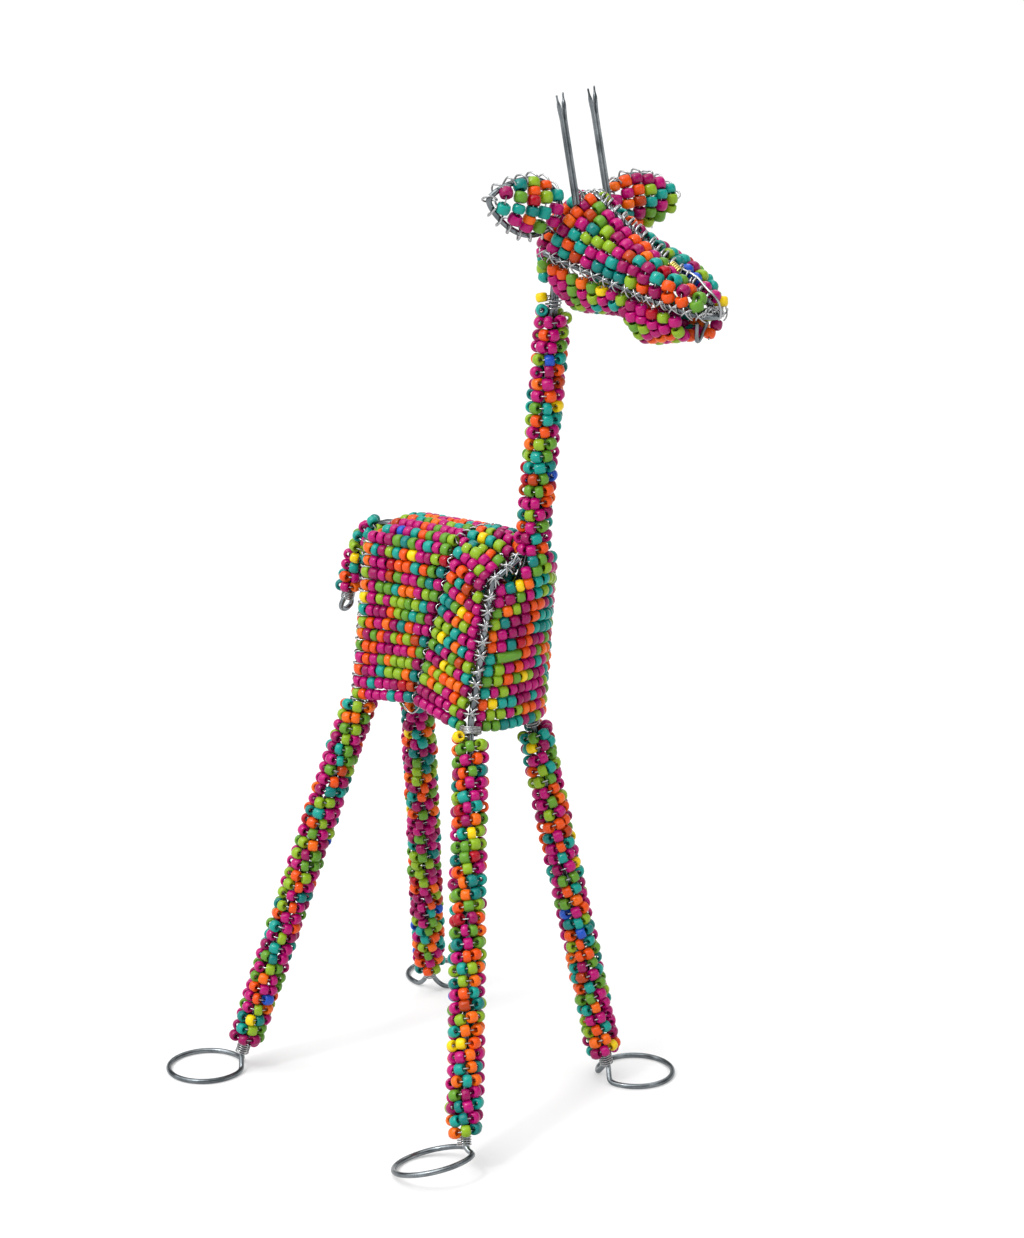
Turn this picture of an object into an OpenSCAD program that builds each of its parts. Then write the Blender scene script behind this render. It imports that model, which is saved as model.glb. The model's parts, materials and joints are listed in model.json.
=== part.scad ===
// Standing giraffe of glass beads threaded on thin wire and wound round a
// hand-bent frame of heavy wire. It faces +X, +Y is its left side and +Z is up.

/* [Wire and beads] */
// Diameter of the heavy frame wire
frame_wire_d = 1.7; // [1.4:0.1:2]
// Diameter of the thin binding wire
binding_wire_d = 0.5; // [0.3:0.1:0.6]
// Diameter of one glass bead, which is also the thickness of the beadwork
bead_d = 3.7; // [3:0.1:4]
// Distance between neighbouring rings of beads on the legs and the neck
ring_pitch = 3.8; // [3.6:0.1:4.4]
// Side of the gap kept between pieces that lie against each other
gap = 0.3; // [0.2:0.1:0.5]

/* [Legs] */
// Height of the four hips above the ground
hip_z = 125; // [118:1:130]
// Outer diameter of the beads wound round a leg
leg_d = 12.4; // [11:0.2:13]
// Diameter of the wire loop that each leg stands on
foot_d = 25; // [20:1:27]
// Height of an ankle above the ground
ankle_z = 5; // [4:0.5:8]

/* [Body] */
// Distance between the left and right corner posts
body_w = 27; // [25:0.5:30]
// Height of the rump above the ground
rump_z = 181; // [178:1:183]
// Height of the shoulders above the ground
shoulder_z = 173; // [170:1:175]
// How far the chest bulges forward between its two posts
chest_bulge = 5; // [4:0.5:6]

/* [Neck and tail] */
// Outer diameter of the beads wound round the neck
neck_d = 10.6; // [9.6:0.2:11]
// Outer diameter of the beads wound round the tail
tail_d = 9; // [8:0.2:10]

/* [Head] */
// Half the width of the head along its back half
head_half_w = 10; // [9:0.5:11]
// Half the width of the muzzle at the mouth
muzzle_half_w = 6.5; // [6:0.5:8]
// Height of the horn tips above the ground
horn_tip_z = 320; // [312:1:324]

/* [Hidden] */
$fn = 32;

// The origin is under the middle of the whole figure, so the figure is drawn
// round the middle of its body and then moved by this much
origin_shift = [-10.6, 0, 0];

wire_r = frame_wire_d / 2;
thin_r = binding_wire_d / 2;
strand_off = wire_r + gap / 3;
wrap_r = strand_off + wire_r + thin_r + gap / 2;
slab_t = bead_d - 0.1;
half_w = body_w / 2;
rib_y = half_w - slab_t / 2 - wire_r - binding_wire_d - 2 * gap;

// Each leg: hip, ankle, centre of its foot loop, tilt of the loop, top of its corner post
LEG_NAMES = ["front_right", "front_left", "rear_right", "rear_left"];
HIPS = [
    [20.1, -half_w - 1.1, hip_z + 3], [21.5, half_w, hip_z],
    [-26.5, -half_w, hip_z + 3], [-26.5, half_w, hip_z - 3]
];
ANKLES = [
    [49.1, -53.2, ankle_z + 3], [43, 27, ankle_z],
    [-57, -42, ankle_z], [-52, 48, ankle_z]
];
LOOPS = [[43.1, -60.4], [47.5, 36.5], [-65.5, -50], [-57, 60.5]];
LOOP_TILT = [16, 0, 0, 0];
POST_TOPS = [
    [26.5, -half_w + 1.5, shoulder_z], [26.5, half_w - 1.5, shoulder_z],
    [-20.5, -half_w, rump_z - 1.5], [-20.5, half_w, rump_z - 1.5]
];
EDGE_FRONT_Z = hip_z - 1;
EDGE_REAR_Z = hip_z + 2;
RIB_FOOT = [-4.5, 0, 127];
RIB_HEAD = [12, 0, rump_z + 2];
NECK_BASE = [32.6, 0, 181.6];
NECK_TOP = [40.4, 0, 255.6];
NECK_PIVOT = [40.9, 0, 260];
TAIL_PIVOT = [-22.8, 0, 182.4];
TAIL_PATH = [
    [-23.4, 182.4], [-26, 182.6], [-29, 182], [-32.2, 180.2], [-35, 177.4],
    [-37.4, 174], [-39.4, 170], [-41.2, 166], [-42.6, 162], [-43.6, 158.4]
];
RIDGE_BACK = [56, 0, 290];
RIDGE_NOSE = [97, 0, 261.7];
JAW_BACK_X = 45;
JAW_BACK_Z = 273.5;
JAW_FRONT_X = 96;
JAW_FRONT_Z = 259.2;
HORN_BASE = [54.8, 7.6, 287.9];
EAR_ROOTS = [[50.5, -9.2, 285.4], [50, 9.8, 286.4]];
EAR_AXES = [[-7, -25, 5], [9, 26, 1]];
// The back of the head: its middle line [x, z], and its edge [x, half width, z]
NAPE_MIDDLE = [[38.3, 264.5], [38.6, 270], [39.4, 276], [42.5, 282.5], [47.5, 287.5], [52.4, 290]];
NAPE_EDGE = [
    [41.2, 5.2, 264.5], [42.6, 7.6, 269.5], [43.2, 7.4, 275.4], [44.8, 6.3, 280.5],
    [48.2, 4.3, 284.8], [52.2, 1.8, 288.6]
];
EAR_HALF_H = 8;

function unit(v) = v / norm(v);
function mix(a, b, t) = a + (b - a) * t;
function flip_y(p) = [p.x, -p.y, p.z];

// Directions along a path, and normals carried along it without twist
function path_tangent(p, i) = unit(p[min(i + 1, len(p) - 1)] - p[max(i - 1, 0)]);
function carried(n, t) = unit(n - (n * t) * t);
function path_normals(p, i = 0, made = []) =
    i == len(p) ? made :
    let (t = path_tangent(p, i))
    let (start = abs(t.z) > 0.7 ? [1, 0, 0] : [0, 0, 1])
    path_normals(p, i + 1, concat(made, [carried(i == 0 ? start : made[i - 1], t)]));

// A tube or, with no bore, a rod of eight sides along a path
module swept(p, r, bore = 0, sides = 8) {
    n = len(p);
    normals = path_normals(p);
    rings = [
        for (rad = bore > 0 ? [r, bore] : [r], i = [0 : n - 1], k = [0 : sides - 1])
            let (t = path_tangent(p, i), a = normals[i], b = cross(t, a))
            p[i] + rad * (cos(360 * k / sides) * a + sin(360 * k / sides) * b)
    ];
    last = (n - 1) * sides;
    inner = n * sides;
    outer_faces = [
        for (i = [0 : n - 2], k = [0 : sides - 1])
            let (m = (k + 1) % sides)
            [i * sides + k, (i + 1) * sides + k, (i + 1) * sides + m, i * sides + m]
    ];
    caps = bore > 0 ? [
        for (k = [0 : sides - 1], end = [0, 1])
            let (m = (k + 1) % sides, s = end * last)
            end == 0 ? [k, m, inner + m, inner + k] : [s + m, s + k, inner + s + k, inner + s + m]
    ] : [[for (k = [0 : sides - 1]) k], [for (k = [0 : sides - 1]) last + sides - 1 - k]];
    inner_faces = bore > 0 ? [
        for (f = outer_faces) [for (k = [3 : -1 : 0]) inner + f[k]]
    ] : [];
    polyhedron(rings, concat(outer_faces, caps, inner_faces), convexity = 6);
}

// A closed sheet of beadwork: f(u, v, side) gives its middle surface moved to one side
module sheet(f, nu, nv, lefthanded = false) {
    pts = [
        for (side = [1, -1], i = [0 : nu], j = [0 : nv]) f(i / nu, j / nv, side * slab_t / 2)
    ];
    row = nv + 1;
    under = (nu + 1) * row;
    outer = [for (i = [0 : nu - 1], j = [0 : nv - 1])
        [i * row + j, i * row + j + 1, (i + 1) * row + j + 1, (i + 1) * row + j]];
    inner = [for (q = outer) [for (k = [3 : -1 : 0]) q[k] + under]];
    ends = [for (j = [0 : nv - 1]) [j + 1, j, under + j, under + j + 1]];
    far = nu * row;
    far_ends = [for (j = [0 : nv - 1]) [far + j, far + j + 1, under + far + j + 1, under + far + j]];
    sides = [for (i = [0 : nu - 1]) [i * row, (i + 1) * row, under + (i + 1) * row, under + i * row]];
    far_sides = [for (i = [0 : nu - 1])
        [(i + 1) * row + nv, i * row + nv, under + i * row + nv, under + (i + 1) * row + nv]];
    faces = concat(outer, inner, ends, far_ends, sides, far_sides);
    turned = [for (q = faces) [for (k = [3 : -1 : 0]) q[k]]];
    polyhedron(pts, lefthanded ? turned : faces, convexity = 6);
}

// Place children with their +Z along the line from p towards q
module along(p, q) {
    d = q - p;
    translate(p) rotate([0, acos(d.z / norm(d)), atan2(d.y, d.x)]) children();
}

// One closed turn of thin wire
module turn_of_wire(r) {
    rotate_extrude() translate([r, 0]) circle(thin_r, $fn = 16);
}

// Turns of thin wire side by side, from p towards q
module wrap(p, q, turns, r = wrap_r) {
    step = binding_wire_d + 0.12;
    along(p, q) for (k = [0 : turns - 1]) translate([0, 0, (k + 0.5) * step]) turn_of_wire(r);
}

// Separate turns spread evenly between p and q
module spread_turns(p, q, turns, r) {
    reach = norm(q - p);
    along(p, q) for (k = [0 : turns - 1]) translate([0, 0, reach * (k + 0.5) / turns]) turn_of_wire(r);
}

// Beads wound in rings round straight wires, drawn as one bored and scalloped sleeve
module bead_sleeve(p, q, d) {
    n = floor(norm(q - p) / ring_pitch);
    step = norm(q - p) / n;
    bore = wrap_r;
    dip = 0.9;
    outline = [for (k = [0 : n - 1], a = [0 : 5])
        [d / 2 - dip * pow(abs(a / 2.5 - 1), 2), (k + (a + 0.5) / 6) * step]];
    along(p, q) rotate_extrude()
        polygon(concat([[bore, 0], [d / 2 - dip, 0]], outline, [[d / 2 - dip, n * step], [bore, n * step]]));
}

// ---- legs ----

// Point at an angle on a foot loop that may be tilted about its own long axis
function loop_point(i, angle) =
    let (c = LOOPS[i], lean = LOOP_TILT[i], r = foot_d / 2)
    let (x = r * cos(angle), y = r * sin(angle))
    [c.x + x * cos(lean), c.y + y, wire_r + r * sin(lean) + x * sin(lean)];
function foot_heading(i) = atan2(ANKLES[i].y - LOOPS[i].y, ANKLES[i].x - LOOPS[i].x);
function strand_side(i) = strand_off * [-sin(foot_heading(i)), cos(foot_heading(i)), 0];
function leg_point(i, s) = mix(ANKLES[i], HIPS[i], s / norm(HIPS[i] - ANKLES[i]));
function leg_length(i) = norm(HIPS[i] - ANKLES[i]);
// The front posts lean in over their tops to meet the foot of the neck
function post_end(i) = i < 2 ? [[31, sign(POST_TOPS[i].y) * 4.8, rump_z - 1.5]] : [];

// One wire: down a strand, round the foot and up the other strand
function leg_path(i) =
    let (side = strand_side(i), heading = foot_heading(i), open = 20, steps = 26)
    let (down = concat(post_end(i), [POST_TOPS[i], HIPS[i], ANKLES[i]]))
    concat(
        [for (p = down) p + side],
        [for (k = [0 : steps]) loop_point(i, heading + open + (360 - 2 * open) * k / steps)],
        [for (k = [len(down) - 1 : -1 : 0]) down[k] - side]
    );

module leg_wire(i) {
    color("slategray") swept(leg_path(i), wire_r);
}

module leg_beads(i) {
    color("mediumvioletred") bead_sleeve(leg_point(i, 4), leg_point(i, leg_length(i) - 5), leg_d);
}

module ankle_wrap(i) {
    color("gray") wrap(leg_point(i, 0.8), leg_point(i, 10), 4);
}

module hip_wrap(i) {
    color("gray") wrap(leg_point(i, leg_length(i) - 4.5), HIPS[i], 5);
}

module corner_seam(i) {
    color("lightgray") spread_turns(HIPS[i] + [0, 0, 2], POST_TOPS[i], 14, wrap_r);
}

// ---- body ----

// Line of a corner post or of the mid rib at height fraction v
// The line of a body corner: v runs from the lower edge of the beadwork to its upper edge
function post_line(i, v) = mix([HIPS[i].x, HIPS[i].y, i < 2 ? EDGE_FRONT_Z : EDGE_REAR_Z], POST_TOPS[i], v);
function rib_line(v) = mix(RIB_FOOT + [0, 0, 2], RIB_HEAD - [0, 0, 4], v);
function flank_point(i, u, v, o) =
    let (s = i % 2 == 0 ? -1 : 1, post = post_line(i, v), rib = rib_line(v))
    let (post_gap = i < 2 ? -3.7 : 3, rib_gap = i < 2 ? 0.3 : -0.3)
    let (a = [post.x + post_gap, 0, post.z], b = [rib.x + rib_gap, 0, rib.z])
    let (p = mix(a, b, u), y = mix(abs(post.y), half_w - 0.3, u) + 0.9 * sin(180 * u))
    [p.x, s * (y + o), p.z];

module flank_beads(i) {
    f = function(u, v, o) flank_point(i, u, v, o);
    color("mediumseagreen") sheet(f, 6, 6, i == 1 || i == 2);
}

// The back is level behind the rib; in front of it the sides fall away to the shoulders
function back_z(x, y) =
    let (edge = pow(y / half_w, 2), ahead = max(0, x - RIB_HEAD.x) / 14)
    rump_z + 2 - 7.5 * ahead * edge + 2.2 * (1 - edge) * (1 - ahead);

module back_beads(x0, x1) {
    edge = half_w - slab_t / 2 - 2 * gap;
    f = function(u, v, o)
        let (x = mix(x0, x1, u), y = mix(-edge, edge, v) * (1 - 0.012 * max(0, x - RIB_HEAD.x)))
        [x, y, back_z(x, y) + o];
    color("yellowgreen") sheet(f, 5, 8, true);
}

// The chest bulges between its posts, and its top runs up and out in front of the neck
module chest_beads() {
    collar_rise = 9.4;
    collar_reach = 4.4;
    f = function(u, v, o)
        let (right = post_line(0, v) + [0, 2.8, 0], left = post_line(1, v) - [0, 2.8, 0])
        let (foot = mix(right, left, u), bow = 1 - pow(2 * u - 1, 2), collar = pow(bow, 1.5))
        [
            foot.x + 0.6 + chest_bulge * bow + collar_reach * collar * pow(v, 3) + o,
            foot.y,
            foot.z + mix(1, -2.5, v) + collar_rise * collar * v * v
        ];
    color("orangered") sheet(f, 8, 6, true);
}

module rump_beads() {
    f = function(u, v, o)
        let (foot = post_line(2, v), y = mix(-1, 1, u) * (half_w - 2.8), bow = 1 - pow(2 * u - 1, 2))
        [foot.x - 0.6 - 1.6 * bow - o, y, foot.z - 3.2 + 1.2 * v];
    color("orangered") sheet(f, 6, 6, false);
}

module mid_rib() {
    top = RIB_HEAD - [0, 0, 3.1];
    side = [for (v = [0, 0.3, 0.6, 0.88]) mix(RIB_FOOT, top - [0, 0, 1.5], v) - [0, rib_y, 0]];
    bend = [top + [0, -rib_y + 0.9, -1.9], top + [0, -rib_y + 3, -0.6], top + [0, -rib_y / 2, 0.6]];
    half = concat(side, bend);
    far = [for (k = [len(half) - 1 : -1 : 0]) flip_y(half[k])];
    color("slategray") swept(concat(half, [top + [0, 0, 1]], far), wire_r);
}

module mid_rib_stitches() {
    ring = wire_r + thin_r + 0.08;
    top = mix(RIB_FOOT, RIB_HEAD - [0, 0, 4.6], 0.86);
    color("lightgray") for (s = [-1, 1])
        spread_turns(RIB_FOOT + [0.4, s * rib_y, 1.2], top + [0, s * rib_y, 0], 12, ring);
}

module rump_bar() {
    reach = half_w - 2 * strand_off - wire_r - gap;
    end = [POST_TOPS[2].x + 0.3, reach, rump_z - 2.2];
    color("slategray") swept([flip_y(end), end - [0, reach, -0.9], end], wire_r);
}

module spine_wire() {
    path = [
        [TAIL_PIVOT.x + 0.6, 0, TAIL_PIVOT.z], [-20, 0, 181.9], [-16, 0, 179.6], [-10, 0, 178.6],
        [12, 0, 178.4], [20, 0, 177], [26, 0, 174]
    ];
    color("slategray") swept(path, wire_r);
}

// ---- neck ----

module neck_wire() {
    path = [[23.5, 0, 146], [24.5, 0, 160], [27, 0, 171], NECK_BASE, NECK_TOP, NECK_PIVOT - [0.02, 0, 0.3]];
    color("slategray") for (s = [-1, 1])
        swept([for (p = path) p + [0, s * strand_off, 0]], wire_r);
}

function neck_point(s) = mix(NECK_BASE, NECK_TOP, s / norm(NECK_TOP - NECK_BASE));

module neck_beads() {
    color("darkorange") bead_sleeve(neck_point(1.9), NECK_TOP, neck_d);
}

module neck_base_wrap() {
    color("gray") wrap(neck_point(-0.8), NECK_TOP, 4);
}

module neck_top_wrap() {
    color("gray") wrap(NECK_TOP + [0, 0, 0.3], NECK_PIVOT, 5);
}

// ---- tail ----

function tail_at(k, y) = [TAIL_PATH[k].x, y, TAIL_PATH[k].y];

module tail_wire() {
    down = [for (k = [0 : len(TAIL_PATH) - 1]) tail_at(k, strand_off)];
    eye = [[-44.1, strand_off, 156], [-44.7, 2.1, 154.2], [-45.1, 2.6, 152.8], [-45.5, 2, 151.5], [-45.7, 0, 150.7]];
    half = concat(down, eye);
    back = [for (k = [len(half) - 2 : -1 : 0]) flip_y(half[k])];
    color("slategray") swept(concat(half, back), wire_r);
}

module tail_beads() {
    path = [for (k = [1 : len(TAIL_PATH) - 1]) tail_at(k, 0)];
    color("yellowgreen") swept(path, tail_d / 2, wrap_r);
}

module tail_wrap() {
    color("gray") wrap(tail_at(9, 0) + [-0.05, 0, -0.2], [-44.4, 0, 154.5], 3);
}

// ---- head ----

function jaw_z(x) = mix(JAW_BACK_Z, JAW_FRONT_Z, (x - JAW_BACK_X) / (JAW_FRONT_X - JAW_BACK_X));
function head_w(x) =
    let (t = max(0, (x - 74) / (JAW_FRONT_X - 74)))
    mix(head_half_w, muzzle_half_w, t * t);
function ridge_point(u) = mix(RIDGE_BACK, RIDGE_NOSE, u);

module head_stem() {
    path = [NECK_PIVOT + [0.05, 0, 0.35], [41.6, 0, 266], [44, 0, 273], [48, 0, 280], [51.5, 0, 284.5]];
    color("slategray") for (s = [-1, 1])
        swept([for (p = path) p + [0, s * strand_off, 0]], wire_r);
}

module ridge_wire() {
    color("slategray") swept([RIDGE_BACK, ridge_point(0.5), RIDGE_NOSE], wire_r);
}

module jaw_wire() {
    side = [for (x = [JAW_BACK_X, 60, 74, 82, 88, 92, 95]) [x, -head_w(x), jaw_z(x)]];
    nose = [[97.4, -4.6, 258.7], [98.6, -2.4, 258.4], [99, 0, 258.3]];
    half = concat(side, nose);
    far = [for (k = [len(half) - 2 : -1 : 0]) flip_y(half[k])];
    color("slategray") swept(concat(half, far), wire_r);
}

module mouth_wire() {
    half = [[95.6, -3.4, 256.2], [94.8, -3.5, 254], [93.4, -3.5, 251.6], [92.6, -2.4, 250.2], [92.3, 0, 249.8]];
    far = [for (k = [len(half) - 2 : -1 : 0]) flip_y(half[k])];
    color("slategray") swept(concat(half, far), wire_r);
}

// Sheet between the ridge and one jaw seam: u runs to the nose, v from ridge to jaw
module face_beads(s) {
    f = function(u, v, o)
        let (top = ridge_point(mix(0.02, 0.93, u)), jx = mix(JAW_BACK_X + 1, JAW_FRONT_X - 3, u))
        let (low = [jx, s * head_w(jx), jaw_z(jx)], out = unit([0.25, s * 0.75, 0.6]))
        let (p = mix(top + [0, s * 2.1, -0.6], low + [0, 0, 2.4], v))
        p + out * (2.4 * sin(180 * v) + o);
    color("yellowgreen") sheet(f, 8, 6, s > 0);
}

// Height of the underside: the throat first, then the deeper chin
function under_z(x) =
    let (t = min(1, max(0, (x - 71) / 4)), neck = min(1, max(0, (x - 46) / 5)))
    mix(mix(262.5, 257.6, neck), 249.6 + 0.16 * (x - 74), t);

module jaw_beads() {
    f = function(u, v, o)
        let (x = mix(46.5, 91, u), w = head_w(x) - 0.4 + o, low = under_z(x) - o, top = jaw_z(x) - 2.5)
        let (c = -cos(180 * v), q = pow(sin(180 * v), 0.75))
        [x, w * c, top - (top - low) * q];
    color("crimson") sheet(f, 16, 10, true);
}

// The closed back of the head, from above the neck over to the horns
function between(list, v) =
    let (n = len(list) - 1, k = min(n - 1, floor(v * n)))
    mix(list[k], list[k + 1], v * n - k);

module nape_beads() {
    f = function(u, v, o)
        let (s = mix(-1, 1, u), mid = between(NAPE_MIDDLE, v), edge = between(NAPE_EDGE, v))
        let (tilt = 80 * pow(v, 2.2), out = unit([-cos(tilt), 0.5 * s, sin(tilt)]))
        [mix(mid.x, edge.x, s * s), s * edge.y, mix(mid.y, edge.z, s * s)] + out * o;
    color("mediumvioletred") sheet(f, 8, 10, false);
}

module ridge_seam() {
    ring = wire_r + thin_r + 0.08;
    color("lightgray") spread_turns(ridge_point(0.04), ridge_point(0.95), 15, ring);
}

module jaw_seam(s) {
    ring = wire_r + thin_r + 0.08;
    xs = [48, 60, 74];
    color("lightgray") for (k = [0 : 1])
        let (a = [xs[k], s * head_w(xs[k]), jaw_z(xs[k])], b = [xs[k + 1], s * head_w(xs[k + 1]), jaw_z(xs[k + 1])])
        spread_turns(a, b, 5, ring);
}

module nose_binding() {
    ring = wire_r + thin_r + 0.08;
    a = [97.4, -4.6, 258.7];
    b = [98.6, -2.4, 258.4];
    color("lightgray") {
        spread_turns(a, b, 2, ring);
        spread_turns(flip_y(a), flip_y(b), 2, ring);
    }
}

// ---- horns and ears ----

// A doubled wire that opens into a narrow eye at its tip
module horn(s) {
    lean = [-6.5, 0, horn_tip_z - wire_r - HORN_BASE.z];
    base = [HORN_BASE.x, s * HORN_BASE.y, HORN_BASE.z];
    strand = [for (t = [0, 0.35, 0.62]) base + lean * t - [0, strand_off, 0]];
    eye = [[0.72, 1.25], [0.83, 1.55], [0.92, 1.35], [0.98, 0.75]];
    opened = [for (e = eye) base + lean * e[0] - [0, e[1], 0]];
    back = [for (k = [3 : -1 : 0]) base + lean * eye[k][0] + [0, eye[k][1], 0]];
    other = [for (t = [0.62, 0.35, 0]) base + lean * t + [0, strand_off, 0]];
    color("slategray") swept(concat(strand, opened, [base + lean], back, other), wire_r);
}

// Ear frames: a leaf outline whose long axis runs from the root to the tip
function ear_up(i) = unit([0.1, 0, 1] - (([0.1, 0, 1] * EAR_AXES[i]) / (EAR_AXES[i] * EAR_AXES[i])) * EAR_AXES[i]);
function leaf(i, t, side, shrink = 0) =
    let (h = (EAR_HALF_H - shrink) * pow(sin(180 * pow(t, 0.8)), 0.75))
    EAR_ROOTS[i] + EAR_AXES[i] * t + side * h * ear_up(i);

module ear_wire(i) {
    steps = 12;
    root = unit(EAR_AXES[i]) * 0.4;
    over = [for (k = [1 : steps - 1]) leaf(i, k / steps, 1)];
    under = [for (k = [steps - 1 : -1 : 1]) leaf(i, k / steps, -1)];
    up = ear_up(i) * strand_off;
    path = concat([EAR_ROOTS[i] + root + up], over, [leaf(i, 1, 0)], under, [EAR_ROOTS[i] + root - up]);
    color("slategray") swept(path, wire_r);
}

module ear_beads(i) {
    face = unit(cross(EAR_AXES[i], ear_up(i)));
    f = function(u, v, o)
        let (t = mix(0.16, 0.86, u), side = mix(-1, 1, v), bow = 1 - side * side)
        leaf(i, t, side, wire_r + 2 * gap + 1.1) + face * (1.4 * bow * sin(180 * u) + o * 0.8);
    color("darkorange") sheet(f, 7, 6, true);
}

module ear_lacing(i) {
    ring = wire_r + thin_r + 0.08;
    color("lightgray") for (side = [-1, 1], k = [2 : 9])
        let (a = leaf(i, k / 12, side), b = leaf(i, (k + 1) / 12, side))
        spread_turns(a, b, 1, ring);
}

module placed() {
    translate(origin_shift) children();
}

placed() leg_wire(0);  // leg_wire_front_right
placed() leg_wire(1);  // leg_wire_front_left
placed() leg_wire(2);  // leg_wire_rear_right
placed() leg_wire(3);  // leg_wire_rear_left
placed() leg_beads(0);  // leg_beads_front_right
placed() leg_beads(1);  // leg_beads_front_left
placed() leg_beads(2);  // leg_beads_rear_right
placed() leg_beads(3);  // leg_beads_rear_left
placed() ankle_wrap(0);  // ankle_wrap_front_right
placed() ankle_wrap(1);  // ankle_wrap_front_left
placed() ankle_wrap(2);  // ankle_wrap_rear_right
placed() ankle_wrap(3);  // ankle_wrap_rear_left
placed() hip_wrap(0);  // hip_wrap_front_right
placed() hip_wrap(1);  // hip_wrap_front_left
placed() hip_wrap(2);  // hip_wrap_rear_right
placed() hip_wrap(3);  // hip_wrap_rear_left
placed() corner_seam(0);  // corner_seam_front_right
placed() corner_seam(1);  // corner_seam_front_left
placed() corner_seam(2);  // corner_seam_rear_right
placed() corner_seam(3);  // corner_seam_rear_left
placed() flank_beads(0);  // flank_beads_right_front
placed() flank_beads(1);  // flank_beads_left_front
placed() flank_beads(2);  // flank_beads_right_rear
placed() flank_beads(3);  // flank_beads_left_rear
placed() back_beads(-18, RIB_HEAD.x - 0.4);  // back_beads_rear
placed() back_beads(RIB_HEAD.x + 0.4, 26.4);  // back_beads_front
placed() chest_beads();
placed() rump_beads();
placed() mid_rib();
placed() mid_rib_stitches();
placed() rump_bar();
placed() spine_wire();
placed() neck_wire();
placed() neck_beads();
placed() neck_base_wrap();
placed() neck_top_wrap();
placed() tail_wire();
placed() tail_beads();
placed() tail_wrap();
placed() head_stem();
placed() ridge_wire();
placed() jaw_wire();
placed() mouth_wire();
placed() face_beads(-1);  // face_beads_right
placed() face_beads(1);  // face_beads_left
placed() jaw_beads();
placed() nape_beads();
placed() ridge_seam();
placed() jaw_seam(-1);  // jaw_seam_right
placed() jaw_seam(1);  // jaw_seam_left
placed() nose_binding();
placed() horn(-1);  // horn_right
placed() horn(1);  // horn_left
placed() ear_wire(0);  // ear_wire_right
placed() ear_wire(1);  // ear_wire_left
placed() ear_beads(0);  // ear_beads_right
placed() ear_beads(1);  // ear_beads_left
placed() ear_lacing(0);  // ear_lacing_right
placed() ear_lacing(1);  // ear_lacing_left
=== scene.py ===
"""A standing giraffe of glass beads on a frame of bent wire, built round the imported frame.

Every string of beads is threaded through the place of its CAD node, and every heavy wire follows the
middle line of its CAD wire. Lengths are in metres, written as millimetres times MM.
"""
import math
import random

import bpy
import numpy as np
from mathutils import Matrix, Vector
from mathutils.bvhtree import BVHTree
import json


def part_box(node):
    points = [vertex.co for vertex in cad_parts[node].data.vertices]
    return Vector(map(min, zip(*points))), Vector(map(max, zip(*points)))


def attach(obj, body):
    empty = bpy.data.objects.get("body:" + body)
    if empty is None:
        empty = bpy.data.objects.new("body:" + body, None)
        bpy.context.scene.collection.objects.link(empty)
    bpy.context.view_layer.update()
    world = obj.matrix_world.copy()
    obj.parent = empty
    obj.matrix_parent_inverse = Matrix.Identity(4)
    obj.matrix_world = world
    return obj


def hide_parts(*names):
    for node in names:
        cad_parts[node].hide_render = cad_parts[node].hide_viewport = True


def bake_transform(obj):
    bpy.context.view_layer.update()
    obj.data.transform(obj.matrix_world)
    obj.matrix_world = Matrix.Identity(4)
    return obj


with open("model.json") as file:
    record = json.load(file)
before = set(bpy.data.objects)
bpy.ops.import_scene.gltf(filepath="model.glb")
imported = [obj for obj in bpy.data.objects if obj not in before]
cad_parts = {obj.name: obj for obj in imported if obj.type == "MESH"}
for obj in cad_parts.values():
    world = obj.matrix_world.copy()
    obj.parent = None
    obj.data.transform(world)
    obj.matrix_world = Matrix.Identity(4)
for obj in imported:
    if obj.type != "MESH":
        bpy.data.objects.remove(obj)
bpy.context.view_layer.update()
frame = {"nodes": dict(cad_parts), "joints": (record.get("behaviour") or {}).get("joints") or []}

MM = 0.001
UP = np.array((0.0, 0.0, 1.0))
FORWARD = np.array((1.0, 0.0, 0.0))
LEFT = np.array((0.0, 1.0, 0.0))

# Beads and wires
BEAD_LENGTH = 2.8 * MM
BEAD_BORE = 0.34            # as a share of the bead's diameter
BEAD_SQUARE = 0.9           # the power of the outline's shape: 1 is round, and less is squarer
LEG_BEAD = 3.75 * MM        # diameter of the beads wound round legs, neck and tail
BODY_BEAD = 3.88 * MM       # diameter of the beads in the rows of the body and the head
SLAB = 3.6 * MM             # thickness of a CAD sheet of beadwork
FRAME_WIRE = 0.85 * MM      # radius of the heavy wire
HORN_WIRE = 0.66 * MM       # radius of each strand of a horn
MOUTH_WIRE = 0.6 * MM       # radius of the mouth's wire
THREAD = 0.24 * MM          # radius of the thin wire
STITCH = 0.31 * MM          # radius of the thin wire where it is stitched
CAD_SIDES = 8               # how many flat sides a CAD wire has

LEGS = ("front_right", "front_left", "rear_right", "rear_left")


# -------- reading the frame

def cad_mesh(node):
    """A CAD node's points, merged where they coincide, and its triangles."""
    mesh = frame["nodes"][node].data
    points = np.empty(len(mesh.vertices) * 3)
    mesh.vertices.foreach_get("co", points)
    merged, back = np.unique(np.round(points.reshape(-1, 3), 6), axis=0, return_inverse=True)
    mesh.calc_loop_triangles()
    corners = np.empty(len(mesh.loop_triangles) * 3, np.int32)
    mesh.loop_triangles.foreach_get("vertices", corners)
    return merged, back.reshape(-1)[corners].reshape(-1, 3)


def surface(node):
    """A CAD node's surface, ready for casting rays at it."""
    points, triangles = cad_mesh(node)
    return BVHTree.FromPolygons(points.tolist(), triangles.tolist())


def unit(v):
    return np.asarray(v, float) / np.linalg.norm(v)


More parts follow.
